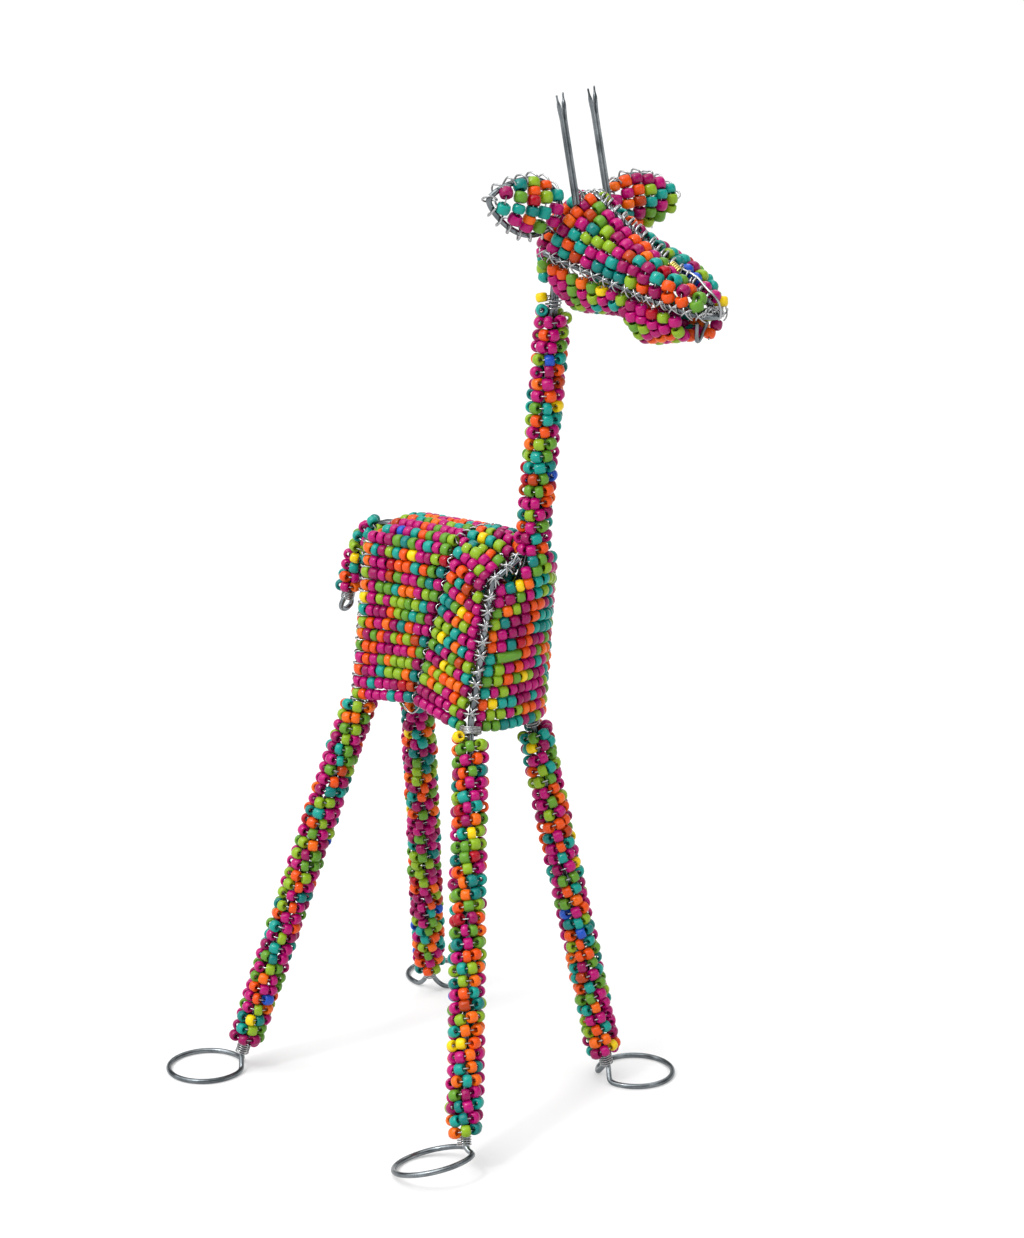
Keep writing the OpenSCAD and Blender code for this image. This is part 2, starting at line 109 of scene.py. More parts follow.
def step(x, y, z):
    """A way to go, given in millimetres."""
    return np.array((x, y, z)) * MM


def mix(a, b, t):
    return np.asarray(a, float) * (1 - t) + np.asarray(b, float) * t


def straight_line(node, toward):
    """The two ends of a straight node's middle line, ordered along a direction."""
    cap = 0.4 * MM              # how deep the points of one end may lie
    points = cad_mesh(node)[0]
    centre = points.mean(0)
    axis = np.linalg.svd(points - centre, full_matrices=False)[2][0]
    if axis @ np.asarray(toward, float) < 0:
        axis = -axis
    reach = (points - centre) @ axis
    ends = [points[reach < reach.min() + cap].mean(0), points[reach > reach.max() - cap].mean(0)]
    axis = unit(ends[1] - ends[0])
    middle = mix(ends[0], ends[1], 0.5)
    reach = (points - middle) @ axis
    return middle + axis * reach.min(), middle + axis * reach.max()


def flat_faces(points, triangles):
    """The triangles in groups that share edges and lie in one plane."""
    same_plane = 0.99999        # cosine of the angle between two normals
    normals = np.cross(points[triangles[:, 1]] - points[triangles[:, 0]],
                       points[triangles[:, 2]] - points[triangles[:, 0]])
    normals /= np.linalg.norm(normals, axis=1)[:, None]
    by_edge = {}
    for k, t in enumerate(triangles):
        for a, b in ((t[0], t[1]), (t[1], t[2]), (t[2], t[0])):
            by_edge.setdefault(frozenset((int(a), int(b))), []).append(k)
    flat = [set() for _ in triangles]
    for pair in by_edge.values():
        for a in pair:
            flat[a] |= {b for b in pair if a != b and normals[a] @ normals[b] > same_plane}
    groups, seen = [], set()
    for start in range(len(triangles)):
        if start in seen:
            continue
        group, todo = {start}, [start]
        while todo:
            fresh = flat[todo.pop()] - group
            group |= fresh
            todo += fresh
        seen |= group
        groups.append(group)
    return groups


def wire_lines(node):
    """The middle lines of a node's bent wires, found by walking from an end cap, ring by ring."""
    points, triangles = cad_mesh(node)
    near = [set() for _ in points]
    for a, b, c in triangles:
        near[a] |= {b, c}
        near[b] |= {a, c}
        near[c] |= {a, b}
    caps = []
    for group in flat_faces(points, triangles):
        ring = {int(p) for k in group for p in triangles[k]}
        spread = np.linalg.norm(np.ptp(points[list(ring)], axis=0))
        if len(ring) == CAD_SIDES and spread < 3.2 * FRAME_WIRE:
            caps.append(ring)
    lines, used = [], set()
    for cap in caps:
        if cap & used:
            continue
        rings, visited = [cap], set(cap)
        while True:
            ring = set().union(*(near[p] for p in rings[-1])) - visited
            if not ring:
                break
            visited |= ring
            rings.append(ring)
        used |= visited
        lines.append(np.array([points[list(r)].mean(0) for r in rings]))
    return lines


# -------- lines

def shares(count):
    """Even shares of a length, from 0 to 1."""
    return np.linspace(0, 1, count)


def hump(t):
    """0 at both ends of a length and 1 in the middle."""
    return math.sin(math.pi * t)


def rounded(line, times=3):
    """A line with its corners cut until they look round. Its ends stay."""
    line = np.asarray(line, float)
    for _ in range(times):
        cut = np.empty((2 * len(line) - 2, 3))
        cut[0::2] = 0.75 * line[:-1] + 0.25 * line[1:]
        cut[1::2] = 0.25 * line[:-1] + 0.75 * line[1:]
        line = np.vstack([line[:1], cut, line[-1:]])
    return line


def facing(line, way):
    """A line, turned round if it doesn't run in a direction."""
    return line if (line[-1] - line[0]) @ way > 0 else line[::-1]


def stations(line):
    return np.concatenate([[0], np.cumsum(np.linalg.norm(np.diff(line, axis=0), axis=1))])


def point_at(line, along, s):
    return np.array([np.interp(s, along, line[:, k]) for k in range(3)])


def part_of(line, start, end):
    """The stretch of a line between two shares of its length."""
    along = stations(line)
    picks = np.linspace(start, end, max(8, int((end - start) * len(line)) + 2)) * along[-1]
    return np.array([point_at(line, along, s) for s in picks])


def evened(line, count):
    """A line with its steps made even."""
    line = np.asarray(line, float)
    along = stations(line)
    return np.array([point_at(line, along, s) for s in np.linspace(0, along[-1], count)])


def smoothed(line, times=2):
    line = np.array(line, float)
    for _ in range(times):
        line[1:-1] = (line[:-2] + 2 * line[1:-1] + line[2:]) / 4
    return line


def cross_frame(line):
    """Two unit vectors across a line at each of its points, carried along without twist."""
    ahead = np.gradient(line, axis=0)
    ahead /= np.linalg.norm(ahead, axis=1)[:, None]
    side = np.cross(ahead[0], UP if abs(ahead[0][2]) < 0.8 else FORWARD)
    sides = []
    for t in ahead:
        side = unit(side - (side @ t) * t)
        sides.append(side)
    sides = np.array(sides)
    return sides, np.cross(ahead, sides)


def coil(line, radius, turns, steps=14, phase=0.0, wobble=0.0, rng=None):
    """A wire wound round a line. The radius is a number or a function of the share along it."""
    count = max(4, int(turns * steps))
    base = evened(line, count)
    a, b = cross_frame(base)
    out = []
    for k in range(count):
        share = k / (count - 1)
        r = radius(share) if callable(radius) else radius
        if wobble:
            r *= 1 + wobble * rng.uniform(-1, 1)
        angle = phase + 2 * math.pi * turns * share
        out.append(base[k] + r * (math.cos(angle) * a[k] + math.sin(angle) * b[k]))
    return smoothed(out, 1)


def tangled(line, low, high, turns, rng, wobble, steps=18, phase=0.0):
    """A coil wound by hand: its radius wanders between two sizes in millimetres."""
    return coil(line, lambda share: rng.uniform(low, high) * MM, turns, steps, phase, wobble, rng)


# -------- meshes

def in_scene(name, data, place=(0, 0, 0), turn=(0, 0, 0)):
    made = bpy.data.objects.new(name, data)
    made.location = place
    made.rotation_euler = turn
    bpy.context.scene.collection.objects.link(made)
    return made


def mesh_object(name, points, faces, materials, of_face=None):
    """A smooth mesh object from an array of points and an array of quads."""
    mesh = bpy.data.meshes.new(name)
    mesh.from_pydata(points, [], faces, shade_flat=False)
    for material in materials:
        mesh.materials.append(material)
    if of_face is not None:
        mesh.polygons.foreach_set("material_index", of_face)
    mesh.validate()
    return in_scene(name, mesh)


def quads(rows, around, closed=False):
    """The quads between rows of points. Each row closes on itself, and the rows do so if asked."""
    row = np.arange(rows - (not closed))[:, None]
    here, there = row * around, (row + 1) % rows * around
    turn = np.arange(around)[None, :]
    after = (turn + 1) % around
    return np.stack([here + turn, here + after, there + after, there + turn], axis=-1).reshape(-1, 4)


def tube(line, radius, sides, taper=0.0):
    """Points and quads of a round wire along a line, closed at both ends by small domes. The far end may
    taper over a length, as wire does where pliers cut it."""
    tip, shoulder = 0.5, 0.35               # how far past the end a dome's two rings stand, in radii
    tip_width, shoulder_width = 0.02, 0.7   # and how wide they are
    cut_width = 0.45                        # how wide the wire is left at a cut
    line = np.asarray(line, float)
    ahead = radius * unit(line[1] - line[0])
    behind = radius * unit(line[-1] - line[-2])
    spine = np.vstack([line[:1] - ahead * tip, line[:1] - ahead * shoulder, line,
                       line[-1:] + behind * shoulder, line[-1:] + behind * tip])
    widths = np.full(len(spine), radius)
    widths[[0, -1]] = tip_width * radius
    widths[[1, -2]] = shoulder_width * radius
    if taper:
        left = stations(line)[-1] - stations(line)
        widths[2:-2] *= np.clip(left / taper, cut_width, 1)
        widths[-2:] *= cut_width
    a, b = cross_frame(spine)
    angles = 2 * math.pi * np.arange(sides) / sides
    ring = np.cos(angles)[None, :, None] * a[:, None, :] + np.sin(angles)[None, :, None] * b[:, None, :]
    points = (spine[:, None, :] + widths[:, None, None] * ring).reshape(-1, 3)
    return points, quads(len(spine), sides)


def wires(name, lines, radius, sides, material, taper=0.0):
    """One object of round wires along lines."""
    points, faces, start = [], [], 0
    for line in lines:
        p, f = tube(line, radius, sides, taper)
        points.append(p)
        faces.append(f + start)
        start += len(p)
    return mesh_object(name, np.vstack(points), np.vstack(faces), [material])


def bead_shape(around=16, outline=10):
    """One glass bead of unit length and unit diameter along Z: a ring with rounded shoulders."""
    inner, outer = BEAD_BORE / 2, 0.5
    centre, half = (inner + outer) / 2, (outer - inner) / 2
    points = []
    for k in range(around):
        turn = 2 * math.pi * k / around
        for j in range(outline):
            a = 2 * math.pi * (j + 0.5) / outline
            flat, high = (math.copysign(abs(x) ** BEAD_SQUARE, x) for x in (math.cos(a), math.sin(a)))
            r = centre + half * flat
            points.append((r * math.cos(turn), r * math.sin(turn), high / 2))
    outside_out = [0, 3, 2, 1]
    return np.array(points), quads(around, outline, closed=True)[:, outside_out]


BEAD_POINTS, BEAD_FACES = bead_shape()


class Beadwork:
    """The strings of one piece of beadwork, with every bead on them."""

    def __init__(self, name, seed, bead_d):
        self.name = name
        self.rng = random.Random(seed)
        self.bead_d = bead_d
        self.bead_l = BEAD_LENGTH * max(1.0, bead_d / BODY_BEAD)
        self.beads = []
        self.strings = []

    def bead(self, centre, axis, length=None, colour=None):
        """One bead, a little uneven in size and a little askew on its wire."""
        rng = self.rng
        diameter = self.bead_d * rng.gauss(1, 0.03)
        length = length or self.bead_l * rng.gauss(1, 0.08)
        askew = np.array([rng.gauss(0, 0.07) for _ in range(3)])
        colour = pick_colour(rng) if colour is None else GLASS_NAMES.index(colour)
        roll = rng.uniform(0, math.tau)
        self.beads.append((centre, unit(unit(axis) + askew), length, diameter, roll, colour))

    def string(self, line, slack=0.02, scatter=0.05 * MM, uneven=0.5, special=None):
        """Threads beads along a line, as close as its length and the slack let them sit. A special bead is
        given by its place in the row, as its length and its colour."""
        special = special or {}
        shortest, longest = 0.78, 1.25      # of a bead, as shares of the usual length
        end_gap = 0.3                       # the room at an end, as a share of a gap between beads
        line = np.asarray(line, float)
        along = stations(line)
        rng = self.rng
        lengths, total = [], along[-1]
        while True:
            length = self.bead_l * min(longest, max(shortest, rng.gauss(1, 0.09)))
            if len(lengths) in special:
                length = special[len(lengths)][0]
            if sum(lengths) + length > total * (1 - slack):
                break
            lengths.append(length)
        if not lengths:
            return
        spare = total - sum(lengths)
        gaps = [rng.uniform(1 - uneven, 1 + uneven) for _ in range(len(lengths) + 1)]
        gaps[0] *= end_gap
        gaps[-1] *= end_gap
        at = 0.0
        for k, length in enumerate(lengths):
            at += spare * gaps[k] / sum(gaps)
            here, before, after = (point_at(line, along, min(max(s, 0), total))
                                   for s in (at + length / 2, at, at + length))
            off = np.array([rng.gauss(0, scatter) for _ in range(3)])
            self.bead(here + off, after - before, length, special[k][1] if k in special else None)
            at += length
        self.strings.append(line)

    def finish(self, body):
        """Makes the beads and their wire, and places them on a body."""
        placed(bead_object(self.name, self.beads), body, "glass_beads", self.name)
        if self.strings:
            thin_wire(self.name.replace("beads", "threading"), self.strings, body, sides=6)


def bead_object(name, beads):
    """One object of many beads, each of one colour."""
    centres, axes, lengths, widths, rolls, colours = (np.array(column) for column in zip(*beads))
    helper = np.where(np.abs(axes[:, 2:3]) < 0.8, UP, FORWARD)
    side = np.cross(axes, helper)
    side /= np.linalg.norm(side, axis=1)[:, None]
    other = np.cross(axes, side)
    a = side * np.cos(rolls)[:, None] + other * np.sin(rolls)[:, None]
    b = np.cross(axes, a)
    points = (centres[:, None, :]
              + BEAD_POINTS[None, :, 0:1] * widths[:, None, None] * a[:, None, :]
              + BEAD_POINTS[None, :, 1:2] * widths[:, None, None] * b[:, None, :]
              + BEAD_POINTS[None, :, 2:3] * lengths[:, None, None] * axes[:, None, :]).reshape(-1, 3)
    starts = np.arange(len(beads)) * len(BEAD_POINTS)
    faces = (BEAD_FACES[None, :, :] + starts[:, None, None]).reshape(-1, 4)
    return mesh_object(name, points, faces, GLASS, np.repeat(colours, len(BEAD_FACES)))


# -------- materials

def set_inputs(node, values):
    for socket, value in values.items():
        node.inputs[socket].default_value = value
    return node


def added(tree, kind, values=None, **feeds):
    """A new shader node with its values set, and with other nodes' outputs linked to its inputs."""
    node = set_inputs(tree.nodes.new("ShaderNode" + kind), values or {})
    for socket, output in feeds.items():
        tree.links.new(output, node.inputs[socket])
    return node


def material_nodes(name, values):
    """A material with its node tree and its shader, whose constants are set on its own sockets."""
    made = bpy.data.materials.new(name)
    made.use_nodes = True
    return made, made.node_tree, set_inputs(made.node_tree.nodes["Principled BSDF"], values)


def noise(tree, scale, detail=2.0):
    """Noise over the object's own coordinates. The scale is in waves per metre."""
    where = added(tree, "TexCoord").outputs["Object"]
    return added(tree, "TexNoise", {"Scale": scale, "Detail": detail}, Vector=where).outputs["Fac"]


def bumped(tree, shader, scale, strength, depth):
    """Noise as fine unevenness of a shader's surface."""
    bump = added(tree, "Bump", {"Strength": strength, "Distance": depth}, Height=noise(tree, scale))
    tree.links.new(bump.outputs["Normal"], shader.inputs["Normal"])


def ramped(tree, value, stops):
    """A colour ramp over a value. Each stop is a place and a colour."""
    ramp = added(tree, "ValToRGB", Fac=value)
    marks = ramp.color_ramp.elements
    while len(marks) < len(stops):
        marks.new(1.0)
    for mark, (place, colour) in zip(marks, stops):
        mark.position = place
        mark.color = (*colour, 1)
    return ramp.outputs["Color"]


def glass_material(name, colour):
    """Opaque pressed glass: a full colour under a wet, slightly uneven skin."""
    made, tree, shader = material_nodes(name, {
        "Base Color": (*colour, 1), "Roughness": 0.32, "Specular IOR Level": 0.08,
        "Coat Weight": 0.4, "Coat Roughness": 0.1})
    bumped(tree, shader, 420, 0.22, 0.25 * MM)
    return made


def galvanised():
    """Blue-grey zinc on drawn steel: satin, with faint clouds and pale scuffs."""
    made, tree, shader = material_nodes("galvanised_steel", {"Metallic": 1.0})
    dark, pale = (0.075, 0.088, 0.096), (0.25, 0.275, 0.29)
    tint = ramped(tree, noise(tree, 180, 3.0), ((0.3, dark), (0.72, pale)))
    tree.links.new(tint, shader.inputs["Base Color"])
    span = added(tree, "MapRange", {"To Min": 0.16, "To Max": 0.32}, Value=noise(tree, 500))
    tree.links.new(span.outputs["Result"], shader.inputs["Roughness"])
    bumped(tree, shader, 900, 0.1, 0.08 * MM)
    return made


def thin_wire_material(name, colour):
    """Bright soft binding wire."""
    made, tree, shader = material_nodes(name, {
        "Base Color": (*colour, 1), "Metallic": 1.0, "Roughness": 0.22})
    bumped(tree, shader, 1500, 0.25, 0.06 * MM)
    return made


# Each glass colour: its name, its share of the beads and its colour
GLASS_COLOURS = (
    ("magenta", 0.25, (0.38, 0.0005, 0.125)), ("deep_magenta", 0.1, (0.25, 0.001, 0.075)),
    ("turquoise", 0.13, (0.003, 0.26, 0.215)), ("teal", 0.06, (0.002, 0.16, 0.145)),
    ("orange", 0.11, (0.66, 0.065, 0.002)), ("bright_orange", 0.06, (0.72, 0.115, 0.003)),
    ("lime", 0.12, (0.21, 0.35, 0.012)), ("leaf_green", 0.1, (0.095, 0.25, 0.018)),
    ("crimson", 0.025, (0.34, 0.001, 0.012)), ("yellow", 0.018, (0.72, 0.5, 0.001)),
    ("blue", 0.015, (0.01, 0.07, 0.42)), ("rust", 0.015, (0.36, 0.035, 0.002)),
)
GLASS_NAMES, GLASS_SHARES, SHADES = zip(*GLASS_COLOURS)
GLASS = [glass_material("glass_" + name, shade) for name, shade in zip(GLASS_NAMES, SHADES)]
STEEL = galvanised()
THIN_STEEL = thin_wire_material("binding_steel", (0.36, 0.365, 0.37))
BRASS = thin_wire_material("brass_tie", (0.62, 0.52, 0.16))


def pick_colour(rng):
    return rng.choices(range(len(GLASS)), GLASS_SHARES)[0]


def placed(made, body, slot, *nodes):
    """Rides a piece on a body, if one is given, and stands it for the CAD nodes of these names."""
    if body:
        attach(made, body)
    nodes = [node for node in nodes if node in frame["nodes"]]
    if nodes:
        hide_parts(*nodes)
    return made


def heavy_wire(name, lines, body, *also, radius=FRAME_WIRE, taper=0.0):
    """Heavy frame wire. It stands for the CAD wire of its name, and for others if they are named too."""
    return placed(wires(name, lines, radius, 16, STEEL, taper), body, "frame_wire", name, *also)


def bent_wire(node, body, times=2):
    """A heavy wire as its CAD node has it, with round bends."""
    heavy_wire(node, [rounded(line, times) for line in wire_lines(node)], body)


def thin_wire(name, lines, body, radius=THREAD, material=THIN_STEEL, sides=8):
    """Thin binding wire. It stands for the CAD turns of wire of its name, where there are any."""
    placed(wires(name, lines, radius, sides, material), body, "binding_wire", name)


# -------- camera, light and floor

AIM = (0, 0, 0.17)                   # what the lamps point at
SOFT_BOX = (-0.25, -0.55, 0.797)     # the direction that the soft box shines from


def camera():
    """The view from the front right, a little above the object's middle."""
    data = bpy.data.cameras.new("camera")
    data.sensor_fit = "AUTO"
    data.sensor_width = 36
    data.lens = 72.7
    data.clip_start = 0.01
    data.clip_end = 20
    turn = (math.radians(75.81), 0, math.radians(39))
    bpy.context.scene.camera = in_scene("camera", data, (0.4871, -0.5841, 0.3486), turn)


def lamp(name, place, size, power):
    """A square lamp that points at the object's middle."""
    data = bpy.data.lights.new(name, "AREA")
    data.shape = "SQUARE"
    data.size = size
    data.energy = power
    in_scene(name, data, place, (Vector(AIM) - Vector(place)).to_track_quat("-Z", "Y").to_euler())


def floor():
    """A pale floor that glows a little, so that it is as white as the room behind it."""
    bpy.ops.mesh.primitive_plane_add(size=12, location=(0, 0, 0))
    plane = bpy.context.object
    plane.name = "floor"
    plane.data.materials.append(material_nodes("pale_floor", {
        "Base Color": (0.5, 0.5, 0.5, 1), "Roughness": 0.9, "Specular IOR Level": 0.1,
        "Emission Color": (1, 1, 1, 1), "Emission Strength": 0.32})[0])


def studio():
    """A soft box in a dim room. A white band at the horizon is what the camera sees behind."""
    world = bpy.data.worlds.new("studio")
    bpy.context.scene.world = world
    world.use_nodes = True
    tree = world.node_tree
    way = added(tree, "TexCoord").outputs["Generated"]
    height = added(tree, "SeparateXYZ", Vector=way).outputs["Z"]
    band, dim = (0.26, 0.26, 0.26), (0.03, 0.03, 0.032)
    wall, ceiling = (0.05, 0.05, 0.052), (0.36, 0.36, 0.36)
    sky = ramped(tree, height, ((0.245, band), (0.33, dim), (0.6, wall), (0.85, ceiling)))
    toward = added(tree, "VectorMath", {1: SOFT_BOX})
    toward.operation = "DOT_PRODUCT"
    tree.links.new(way, toward.inputs[0])
    box = ramped(tree, toward.outputs["Value"], ((0.76, (0, 0, 0)), (0.84, (0.55, 0.55, 0.55))))
    both = added(tree, "VectorMath")    # the sum of the two
    tree.links.new(sky, both.inputs[0])
    tree.links.new(box, both.inputs[1])
    tree.links.new(both.outputs["Vector"], tree.nodes["Background"].inputs["Color"])
    tree.nodes["Background"].inputs["Strength"].default_value = 4.1
    bpy.context.scene.view_settings.view_transform = "Standard"
    lamp("key", (-0.1, -0.8, 1.15), 0.13, 4.0)
    lamp("fill", (1.1, 0.1, 0.7), 0.4, 1.2)
    lamp("back", (-0.3, 0.9, 0.9), 0.4, 1.6)


# -------- legs, neck and tail

ROUND_LEG, LEG_PITCH = 4.25 * MM, 3.75 * MM     # from a leg's middle to the wire, and from ring to ring
ROUND_NECK, NECK_PITCH = 4.0 * MM, 3.7 * MM     # the same for the neck
TAIL_PITCH = 3.7 * MM
HIP_REACH, ANKLE_REACH = 5 * MM, 4 * MM         # how far a leg's line runs past its CAD sleeve


def leg_line(leg):
    """A leg's middle line, from its hip to its ankle."""
    top, bottom = straight_line("leg_beads_" + leg, -UP)
    down = unit(bottom - top)
    return evened([top - down * HIP_REACH, bottom + down * ANKLE_REACH], 30)


def wound_sleeve(work, line, radius, pitch, phase=0.0):
    """Beads wound round a line in rings that touch. Along the wire they sit loosely, so it shows."""
    turns = stations(line)[-1] / pitch
    spiral = coil(line, radius, turns, steps=20, phase=phase, wobble=0.03, rng=work.rng)
    work.string(spiral, slack=0.2, scatter=0.18 * MM, uneven=0.97)


def legs():
    """The beads of each leg, its doubled wire, and the turns of thin wire at its ankle and its hip."""
    for k, leg in enumerate(LEGS):
        line = leg_line(leg)
        share = MM / stations(line)[-1]         # a millimetre, as a share of the leg
        bare = 2 if leg.startswith("rear") else 5
        work = Beadwork("leg_beads_" + leg, 100 + k, LEG_BEAD)
        sleeve = part_of(line, bare * share, 1 - 4 * share)
        wound_sleeve(work, sleeve, ROUND_LEG, LEG_PITCH, phase=k * 1.7)
        work.finish("body")
        strands = [rounded(evened(strand, int(stations(strand)[-1] / (2.5 * MM))), 2)
                   for strand in wire_lines("leg_wire_" + leg)]
        heavy_wire("leg_wire_" + leg, strands, "body")
        rng = random.Random(200 + k)
        low = part_of(line, 1 - 4.2 * share, 1 - 0.2 * share)
        ankle = coil(low, 2.15 * MM, 5.5, wobble=0.04, rng=rng)
        thin_wire("ankle_wrap_" + leg, [ankle], "body")
        start, end, radius = (1.6, 4.2, 3.4) if leg == "front_right" else (0.2, 5, 2.2)
        high = part_of(line, start * share, end * share)
        hip = coil(high, radius * MM, 5.5, steps=20, wobble=0.05, rng=rng)
        thin_wire("hip_wrap_" + leg, [hip], "body")


def joint_place(name):
    return np.array(next(j["pos_m"] for j in frame["joints"] if j["name"] == name))


def beyond(end, way, *steps):
    """Points past an end, at distances in millimetres."""
    return [end + way * reach * MM for reach in steps]


def neck():
    """The neck's beads, the turns of thin wire above and below them, and the wires that run up through
    them into the head and bend where it nods."""
    foot, top = straight_line("neck_beads", UP)
    up = unit(top - foot)
    line = [mix(foot - up * 3.2 * MM, top, t) for t in shares(24)]
    work = Beadwork("neck_beads", 120, LEG_BEAD)
    wound_sleeve(work, line, ROUND_NECK, NECK_PITCH)
    pivot = joint_place("head_nod")
    work.bead(pivot + step(-3.1, -2.2, -0.6), UP, colour="yellow")
    work.finish("body")
    rng = random.Random(220)
    base = coil(beyond(foot, -up, 2.6, 1.9, 1.2, 0.4), 2.25 * MM, 4.5, wobble=0.06, rng=rng)
    thin_wire("neck_base_wrap", [base], "body")
    loose = coil(beyond(top, up, 0.2, 1.2, 2.2, 3.2, 4.2), lambda share: (2.2 + 0.5 * share) * MM, 3.5,
                 wobble=0.12, rng=rng)
    thin_wire("neck_top_wrap", [loose], "body")
    low, high = (sorted((facing(line, UP) for line in wire_lines(node)), key=lambda line: line[0][1])
                 for node in ("neck_wire", "head_stem"))
    strands = []
    for a, b in zip(low, high):
        whole = np.vstack([a[:-1], [mix(a[-1], b[0], 0.5)], b[1:]])
        strands.append(evened(rounded(whole, 2), 160))
    stem = heavy_wire("neck_wire", strands, None, "head_stem")
    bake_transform(stem)


def tail():
    """The tail hangs from the rump: two wire strands, beads wound round them, and a bare eye."""
    pivot = joint_place("tail_swing")
    wire = wire_lines("tail_wire")[0]
    wire = wire if abs(wire[0][2] - pivot[2]) < abs(wire[-1][2] - pivot[2]) else wire[::-1]
    root, other = ([[pivot[0] + 4.5 * MM, end[1], pivot[2] - 0.3 * MM]] for end in (wire[0], wire[-1]))
    strand = evened(rounded(np.vstack([root, wire, other]), 2), 150)
    whole = heavy_wire("tail_wire", [strand], None)
    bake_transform(whole)
    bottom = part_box("tail_beads")[0].z + 1 * MM
    half = wire[:len(wire) // 2 + 1]
    spine = rounded(np.array([(x, pivot[1], z) for x, y, z in half if z > bottom])[2:], 2)
    work = Beadwork("tail_beads", 130, LEG_BEAD * 0.98)
    wound_sleeve(work, spine, lambda share: (1.9 + 1.1 * min(1, share * 4)) * MM, TAIL_PITCH)
    work.finish("tail")
    rng = random.Random(230)
    end = coil(beyond(spine[-1], unit(spine[-1] - spine[-4]), 0.6, 1.6, 2.6, 3.8), 2.2 * MM, 5.5,
               wobble=0.08, rng=rng)
    thin_wire("tail_wrap", [end], "tail")


# -------- body

BODY_ROWS = 13
REAR_R = 1.7 * MM           # how far out the rows pass round the rear posts
FRONT_R = 3.4 * MM          # and round the front post on the left


def corner(node, direction):
    """The point of a CAD node that lies furthest along a direction."""
    points = cad_mesh(node)[0]
    return points[np.argmax(points @ np.asarray(direction, float))]


def laid_on(tree, samples, depth=SLAB / 2, reach=60 * MM):
    """The longest run of points that lie under a surface, looked for from outside along each sample."""
    runs, run = [], []
    for place, inward in samples:
        inward = unit(inward)
        start = Vector(place - inward * reach)
        hit, normal = tree.ray_cast(start, Vector(inward), 2 * reach)[:2]
        if hit is None:
            if run:
                runs.append(run)
            run = []
        else:
            normal = np.array(normal)
            run.append(np.array(hit) + (depth if normal @ inward > 0 else -depth) * normal)
    runs.append(run)
    best = max(runs, key=len)
    return smoothed(best, 2) if len(best) > 3 else None


def wavy(line, rng, amount, along=UP):
    """A hand-strung line: it wanders a little along one direction."""
    line = np.asarray(line, float)
    share = shares(len(line))
    wave = sum(rng.uniform(0.3, 1) * np.sin(2 * math.pi * (n * share + rng.random())) / n
               for n in (1, 2, 3))
    return line + amount * wave[:, None] * np.asarray(along)[None, :]


def arched(start, end, height, count):
    """A line between two points that stands up in an arch."""
    return [mix(start, end, u) + UP * height * hump(u) for u in shares(count)]


def ease(t):
    t = min(1.0, max(0.0, t))
    return t * t * (3 - 2 * t)


class Body:
    """The lines that the body's rows are strung between: four corner posts, the rib and the shoulders."""

    def __init__(self):
        self.post = {leg: straight_line("corner_seam_" + leg, UP) for leg in LEGS}
        self.span = {}
        for end, toward in (("front", 1), ("rear", -1)):
            node = "flank_beads_right_" + end
            self.span[end] = (corner(node, (toward, 0, -1))[2], corner(node, (toward, 0, 1))[2])
        node = "flank_beads_right_rear"
        self.rib = (corner(node, (1, 0, -1)), corner(node, (1, 0, 1)))
        rear = cad_mesh(node)[0]
        self.flank_y = abs(rear[:, 1] - self.middle_y()).max() - SLAB / 2 - 0.9 * MM

    def middle_y(self):
        return (self.post["front_right"][0][1] + self.post["front_left"][0][1]) / 2

    def post_at(self, leg, z):
        """A corner post's middle at a height."""
        low, high = self.post[leg]
        return mix(low, high, (z - low[2]) / (high[2] - low[2]))

    def corner_at(self, leg, v):
        low, high = self.span["front" if "front" in leg else "rear"]
        return self.post_at(leg, low + (high - low) * v)

    def rib_at(self, side, v):
        place = mix(self.rib[0], self.rib[1], v)
        return np.array((place[0] + 0.3 * MM, self.middle_y() + side * self.flank_y, place[2]))

    def shoulder(self, side):
        """The line from the top of a front post to the foot of the neck."""
        leg = "front_right" if side < 0 else "front_left"
        strand = max(wire_lines("leg_wire_" + leg), key=len)
        end = strand[np.argmax(strand[:, 2])]
        foot = straight_line("neck_beads", UP)[0]
        return np.array([self.post[leg][1], end, (foot[0] - 1.5 * MM, self.middle_y(), end[2] + 1.2 * MM)])


def arc(centre, radius, start, end, count=5):
    """Points round a post, between two headings in degrees."""
    return [centre + radius * np.array((math.cos(math.radians(a)), math.sin(math.radians(a)), 0))
            for a in np.linspace(start, end, count)]


def flank_row(body, side, end, v):
    """One row from a corner to the rib. It ends at the seam in front on the right, and elsewhere it
    runs on round the corner post."""
    bow = 0.9 * MM              # how far a row's middle stands out
    turn = 13 * MM              # the stretch over which a row comes in from its post
    leg = "%s_%s" % (end, "right" if side < 0 else "left")
    round_post = FRONT_R if end == "front" else REAR_R
    post, rib = body.corner_at(leg, v), body.rib_at(side, v)
    ahead = 1 if end == "front" else -1
    sewn = leg == "front_right"
    start = post - FORWARD * (1.5 * MM if sewn else 0)
    rib = rib + FORWARD * ahead * 0.75 * MM
    level = max(abs(post[1] - body.middle_y()), body.flank_y - 0.4 * MM)
    row = []
    length = abs(rib[0] - start[0])
    for u in shares(26):
        place = mix(start, rib, u)
        near = 1 - ease(u * length / turn)
        out = mix(level, body.flank_y, u) + bow * hump(u)
        out += near * (0.5 * MM if sewn else round_post)
        row.append(np.array((place[0], body.middle_y() + side * out, place[2])))
    if not sewn:
        row = arc(post, round_post, side * (90 - ahead * 45), side * (90 - ahead * 4)) + row
    return np.array(row[::-1] if end == "front" else row)


